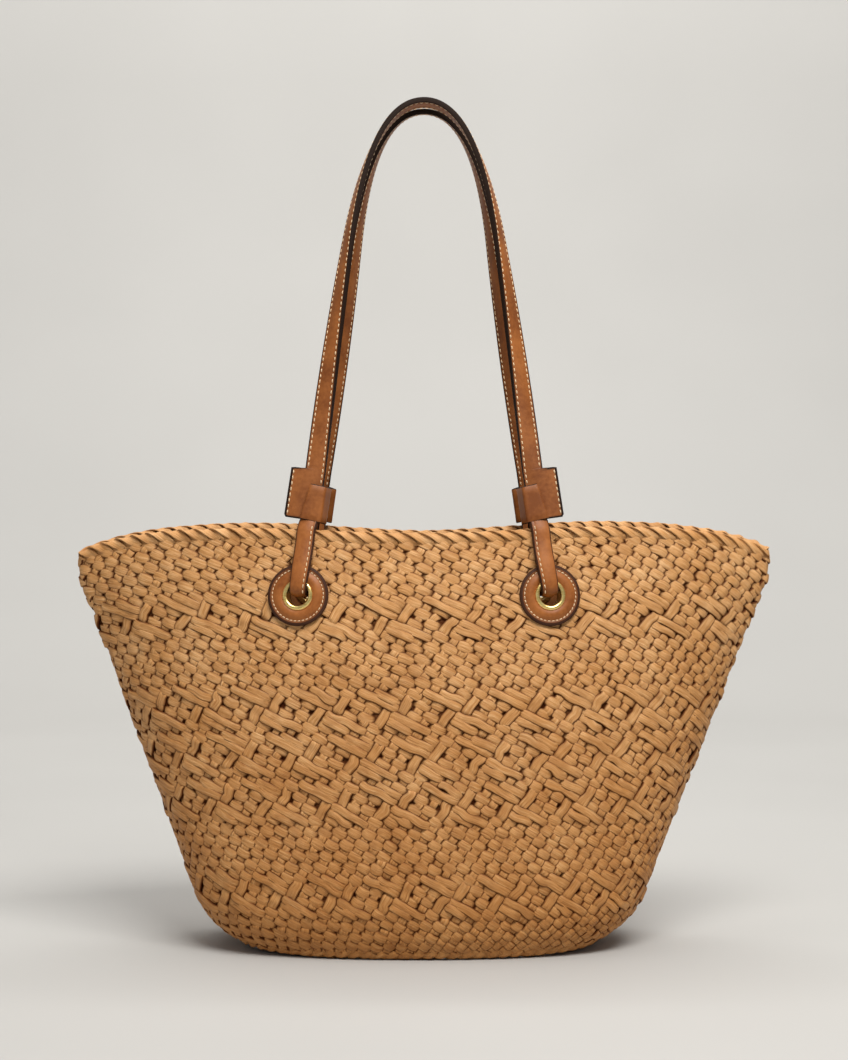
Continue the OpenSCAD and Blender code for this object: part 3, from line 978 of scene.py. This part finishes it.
def handle_seams(handle, name, body):
    """Rows of stitches: one close to each edge of the strap, on both faces, and one down each tab."""
    pitch, inset = 3.85, 2.0
    low, high = handle.where(TAB_BASE + 1.5)
    tab_low, tab_high = handle.where(LEG_Z + 1.2)
    end_low, end_high = handle.where(LEG_Z - 1.5)
    rows = (
        (low, high, STRAP_W / 2 - inset), (tab_low, tab_high, inset - STRAP_W / 2),
        (low, end_low, inset - TAB_OUT), (end_high, high, inset - TAB_OUT),
    )
    for face, sign in (("outer", 1), ("lining", -1)):
        found = []
        for start, end, across in rows:
            count = int((end - start) / pitch)
            length = np.linspace(start + pitch / 2, end - pitch / 2, count)
            side = np.full(count, across)
            level = sign * (STRAP_T / 2 - 0.18) * np.interp(length, handle.length, handle.plump)
            point = handle.at(length, side, level)
            ahead = unit(handle.at(length + 0.3, side, level) - handle.at(length - 0.3, side, level))
            found.append((point, ahead, unit(handle.at(length, side, level + sign) - point)))
        parts = [np.concatenate(part) for part in zip(*found)]
        stitches(f"{name}_stitches_{face}", *parts, body, [name + "_stitching"])


def keeper_frame(flip):
    """The local frame of a wrap: outwards along the bag, into the bag, and up the strap."""
    lean, slope = atan(LEAN), atan(LEG_SLOPE)
    origin = np.array([leg_at(KEEPER_Z), handle_y(KEEPER_Z), KEEPER_Z])
    along = [cos(slope), 0, sin(slope)]
    tip = [-sin(slope), 0, cos(slope)]
    tilt = np.array([[1, 0, 0], [0, cos(lean), -sin(lean)], [0, sin(lean), cos(lean)]])
    axes = np.array([along, [0, 1, 0], tip]) @ tilt

    def at(x, y, z):
        return (origin + np.stack([x, y, z], -1) @ axes) * flip

    return at


def rounded(corners, radius, steps=6):
    """A closed outline with its corners rounded off."""
    corners = np.array(corners, float)
    points = []
    for k, corner in enumerate(corners):
        before, after = corners[k - 1] - corner, corners[(k + 1) % len(corners)] - corner
        a, b = corner + unit(before) * radius[k], corner + unit(after) * radius[k]
        for t in np.linspace(0, 1, steps):
            points.append((1 - t) ** 2 * a + 2 * t * (1 - t) * corner + t * t * b)
    return np.array(points)


def fill_in(outline, most=2.0):
    """Adds points along an outline's long sides."""
    points = []
    for k, point in enumerate(outline):
        after = outline[(k + 1) % len(outline)]
        count = max(1, int(np.linalg.norm(after - point) / most))
        points += [point + (after - point) * j / count for j in range(count)]
    return np.array(points)


def wrap_band(place, flip, body):
    """A leather band folded round tab and loop, wider at its foot, with a crease on its inner side."""
    at = keeper_frame(flip)
    thick, front, back = 1.7, -7.2, 7.0
    heights = np.array([0, 0.25, 0.7, 5, 10, 15, 20, WRAP_H - 0.7, WRAP_H - 0.25, WRAP_H])
    rings = []
    for h in heights:
        slit = 6.2 - 4.2 * (h / WRAP_H)
        shape = [(slit, front), (-9.0, front), (-12.8, back), (7.4, back), (slit - 0.9, -1.4)]
        ring = rounded(shape, (2.0, 1.2, 2.0, 2.4, 0.6))
        rings.append(np.concatenate([ring, ring[:1]]))
    count = len(fill_in(rings[0][:-1]))
    outer = np.array([evenly(ring, count, endpoint=False) for ring in rings])
    ahead = unit(np.roll(outer, -1, 1) - np.roll(outer, 1, 1))
    inwards = np.stack([ahead[..., 1], -ahead[..., 0]], -1)
    middle = outer.mean(1, keepdims=True)
    inwards *= np.sign((inwards * (middle - outer)).sum(-1, keepdims=True))
    pull = np.array([0.75, 0.25, 0, 0, 0, 0, 0, 0, 0.25, 0.75])[:, None, None]
    face = outer + inwards * pull
    inner = outer[[-1, 0]] + inwards[[-1, 0]] * thick
    rows = np.concatenate([face, inner])
    z = np.concatenate([heights, [WRAP_H, 0]])[:, None] + 0.075 * rows[..., 0] + 0.1 * (rows[..., 1] - front)
    grid = at(rows[..., 0], rows[..., 1], z)[None]
    edge = np.zeros(grid.shape[:-1])
    edge[:, [0, 1, -1, -2, 9, 8]] = 1
    piece = skin(place + "_wrap_band", grid, closed=True, sharp=60, edge=edge)
    finish_piece(piece, LEATHER, "leather", body, place + "_wrap")


def loop_route():
    """Height above the eyelet and distance out from the wall, down outside, through it and up inside."""
    down = [
        (44, 6.2), (36, 6.5), (28, 7.2), (20, 8.2), (13, 8.8), (8, 8.9),
        (4.4, 8.4), (2.2, 6.8), (1.2, 4.4), (1, 1.6),
    ]
    return down + [(h, -n + 0.2) for h, n in reversed(down)]


def smooth_path(points, count):
    """A smooth curve through points, evenly spaced."""
    points = np.concatenate([[2 * points[0] - points[1]], points, [2 * points[-1] - points[-2]]])
    t = np.linspace(0, 1, 12, endpoint=False)[:, None]
    curve = []
    for k in range(1, len(points) - 2):
        a, b, c, d = points[k - 1 : k + 3]
        square, cube = 2 * a - 5 * b + 4 * c - d, 3 * b - a - 3 * c + d
        curve.append(0.5 * (2 * b + (c - a) * t + square * t**2 + cube * t**3))
    return evenly(np.concatenate(curve + [points[-2:-1]]), count)


def loop_path(left_right):
    """The loop's middle line, as in front on the right. Both its ends are up inside the wrap."""
    foot = leg_at(KEEPER_Z)
    points = []
    for height, off in loop_route():
        z = EYE_Z + height
        x = EYE_X + (foot - EYE_X) * (z - EYE_Z) / (KEEPER_Z - EYE_Z)
        x -= (1.6 if left_right > 0 else 0.8) * min(1, max(0, height) / 30)
        points.append(front_point(x, z) + off * front_out(x, z))
    at = keeper_frame(1)
    start, end = ([at(-1.6, side * (STRAP_T + 0.15), h) for h in (9.0, 5.0)] for side in (-1, 1))
    return smooth_path(np.array(start + points + end[::-1]), 110)


# Across, outwards and the share of paint, with a stitch groove near one side
LOOP_SECTION = np.array([
    (-1, -0.5, 1), (-0.8, -1, 0), (0, -1.0, 0), (0.8, -1, 0), (1, -0.5, 1), (1, 0.3, 1),
    (0.97, 0.72, 1), (0.89, 0.96, 1), (0.84, 1.02, 0.3), (0.76, 1.02, 0.1), (0.66, 0.84, 0.1),
    (0.56, 1.04, 0), (0.3, 1.16, 0), (0.0, 1.22, 0), (-0.5, 1.14, 0), (-0.78, 0.98, 0.1),
    (-0.86, 0.9, 0.4), (-0.95, 0.66, 1), (-1, 0.2, 1),
])


def loop_strap(place, flip):
    """The strap that goes through the eyelet, with both ends up inside the wrap."""
    path = loop_path(flip[0])
    side = unit(np.cross([0, 0, 1], front_out(EYE_X, EYE_Z)))
    ahead = unit(np.gradient(path, axis=0))
    across = unit(side - (ahead @ side)[:, None] * ahead)
    out = np.cross(ahead, across)
    low = within((path[:, 2] - EYE_Z) / 22)
    half = (5.6 + 0.8 * low) * (1 - 0.3 * within((path[:, 2] - KEEPER_Z - 0.5) / 4))
    curl = 0.6 + 0.5 * (1 - low) ** 1.5
    wide, high, edge_share = LOOP_SECTION.T
    h = high * STRAP_T / 2 - curl[:, None] * wide**2
    grid = beside(path, across, out, -wide * half[:, None], h) * flip
    piece = skin(place + "_loop_strap", grid[None], sharp=60, edge=edge_share)
    finish_piece(piece, PATCH_LEATHER, "leather", None, place + "_loop", place + "_loop_ends")
    bend_at_rim(piece)
    seam = loop_seam(place + "_loop_stitches", path, ahead, across, out, half, flip)
    bend_at_rim(seam)


def loop_seam(name, path, ahead, across, out, half, flip):
    """A row of stitches down the part of the loop that shows outside."""
    wall_y = -front_depth(path[:, 0], np.minimum(path[:, 2], BODY_H))
    walk = length_along(path)
    seen = walk[(path[:, 1] < wall_y - 5.5) & (path[:, 2] < KEEPER_Z + 1)]
    length = np.linspace(seen[0] + 1, seen[-1] - 2, int((seen[-1] - seen[0]) / 3.5))
    ahead, across, out = (unit(read_off(length, walk, table)) for table in (ahead, across, out))
    inset = 0.64 * np.interp(length, walk, half)[:, None]
    centres = read_off(length, walk, path) - across * inset + out * (STRAP_T / 2 - 0.3)
    return stitches(name, centres * flip, ahead * flip, out * flip, None, [], 2.5, 0.8)


def bend_at_rim(piece):
    """Bakes the piece's placing into its mesh."""
    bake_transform(piece)


def handles():
    for name, front_back in (("front", 1), ("back", -1)):
        handle = Handle(front_back)
        body = name + "_handle"
        handle_layers(handle, name + "_strap", body)
        handle_seams(handle, name + "_strap", body)
    for place, flip in SIDES.items():
        body = place.split("_")[0] + "_handle"
        wrap_band(place, flip, body)
        loop_strap(place, flip)


def kept_cad_parts():
    """The washers keep their CAD shape, in the same brass."""
    for place in SIDES:
        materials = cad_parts[place + "_washer"].data.materials
        materials.clear()
        materials.append(BRASS)


# ---- the studio
def studio():
    """A paper sweep that curves up behind the bag, and soft lights."""
    profile = [(y, 0.0) for y in (-3.0, -1.0, 0.0, 0.8, 1.4)]
    for a in np.radians(np.linspace(6, 90, 15)):
        profile.append((1.4 + 1.1 * sin(a), 1.1 - 1.1 * cos(a)))
    profile += [(2.5, 2.2), (2.5, 4.5)]
    grid = np.array([[(x, y, z) for y, z in profile] for x in (-3.5, 0, 3.5)])[None] / MM
    floor = skin("paper_sweep", grid[:, ::-1], tube=False, caps=False)
    floor.data.materials.append(backdrop_material())

    def lamp(name, place, target, size, power, colour):
        data = bpy.data.lights.new(name, "AREA")
        data.shape, data.size, data.size_y = "RECTANGLE", *size
        data.energy, data.color = power, colour
        light = show(name, data)
        light.location = place
        light.rotation_euler = (Vector(target) - Vector(place)).to_track_quat("-Z", "Y").to_euler()

    lamp("key", (0.32, -0.97, 1.62), (0, 0, 0.36), (1.1, 0.6), 34, (1.0, 0.99, 0.972))
    lamp("top", (0.0, 0.1, 2.5), (0, 0.1, 0), (1.6, 1.2), 17, (1.0, 0.995, 0.985))
    lamp("wall_wash", (0.0, 0.9, 2.3), (0, 2.5, 0.9), (3.0, 0.8), 56, (1.0, 0.995, 0.985))
    lamp("fill", (-2.0, -1.8, 0.9), (0, 0, 0.25), (1.4, 1.4), 2.5, (0.97, 0.985, 1.0))
    world = bpy.data.worlds.new("soft_room")
    world.use_nodes = True
    light = world.node_tree.nodes["Background"].inputs
    light["Color"].default_value = (0.95, 0.96, 0.97, 1)
    light["Strength"].default_value = 0.26
    bpy.context.scene.world = world
    bpy.context.scene.view_settings.view_transform = "Standard"


def camera():
    """Level with the upper basket, 1.48 m in front of the bag's middle."""
    data = bpy.data.cameras.new("camera")
    data.sensor_fit = "HORIZONTAL"
    data.sensor_width = 36
    data.lens = 89.75
    view = show("camera", data)
    view.location = (0, -1.48, 0.309)
    view.rotation_euler = (radians(90 - 0.81), 0, 0)
    bpy.context.scene.camera = view


weave_wall()
wall_core()
rim_braid()
base_edge()
base_plate()
fittings()
handles()
kept_cad_parts()
studio()
camera()

bpy.context.view_layer.update()
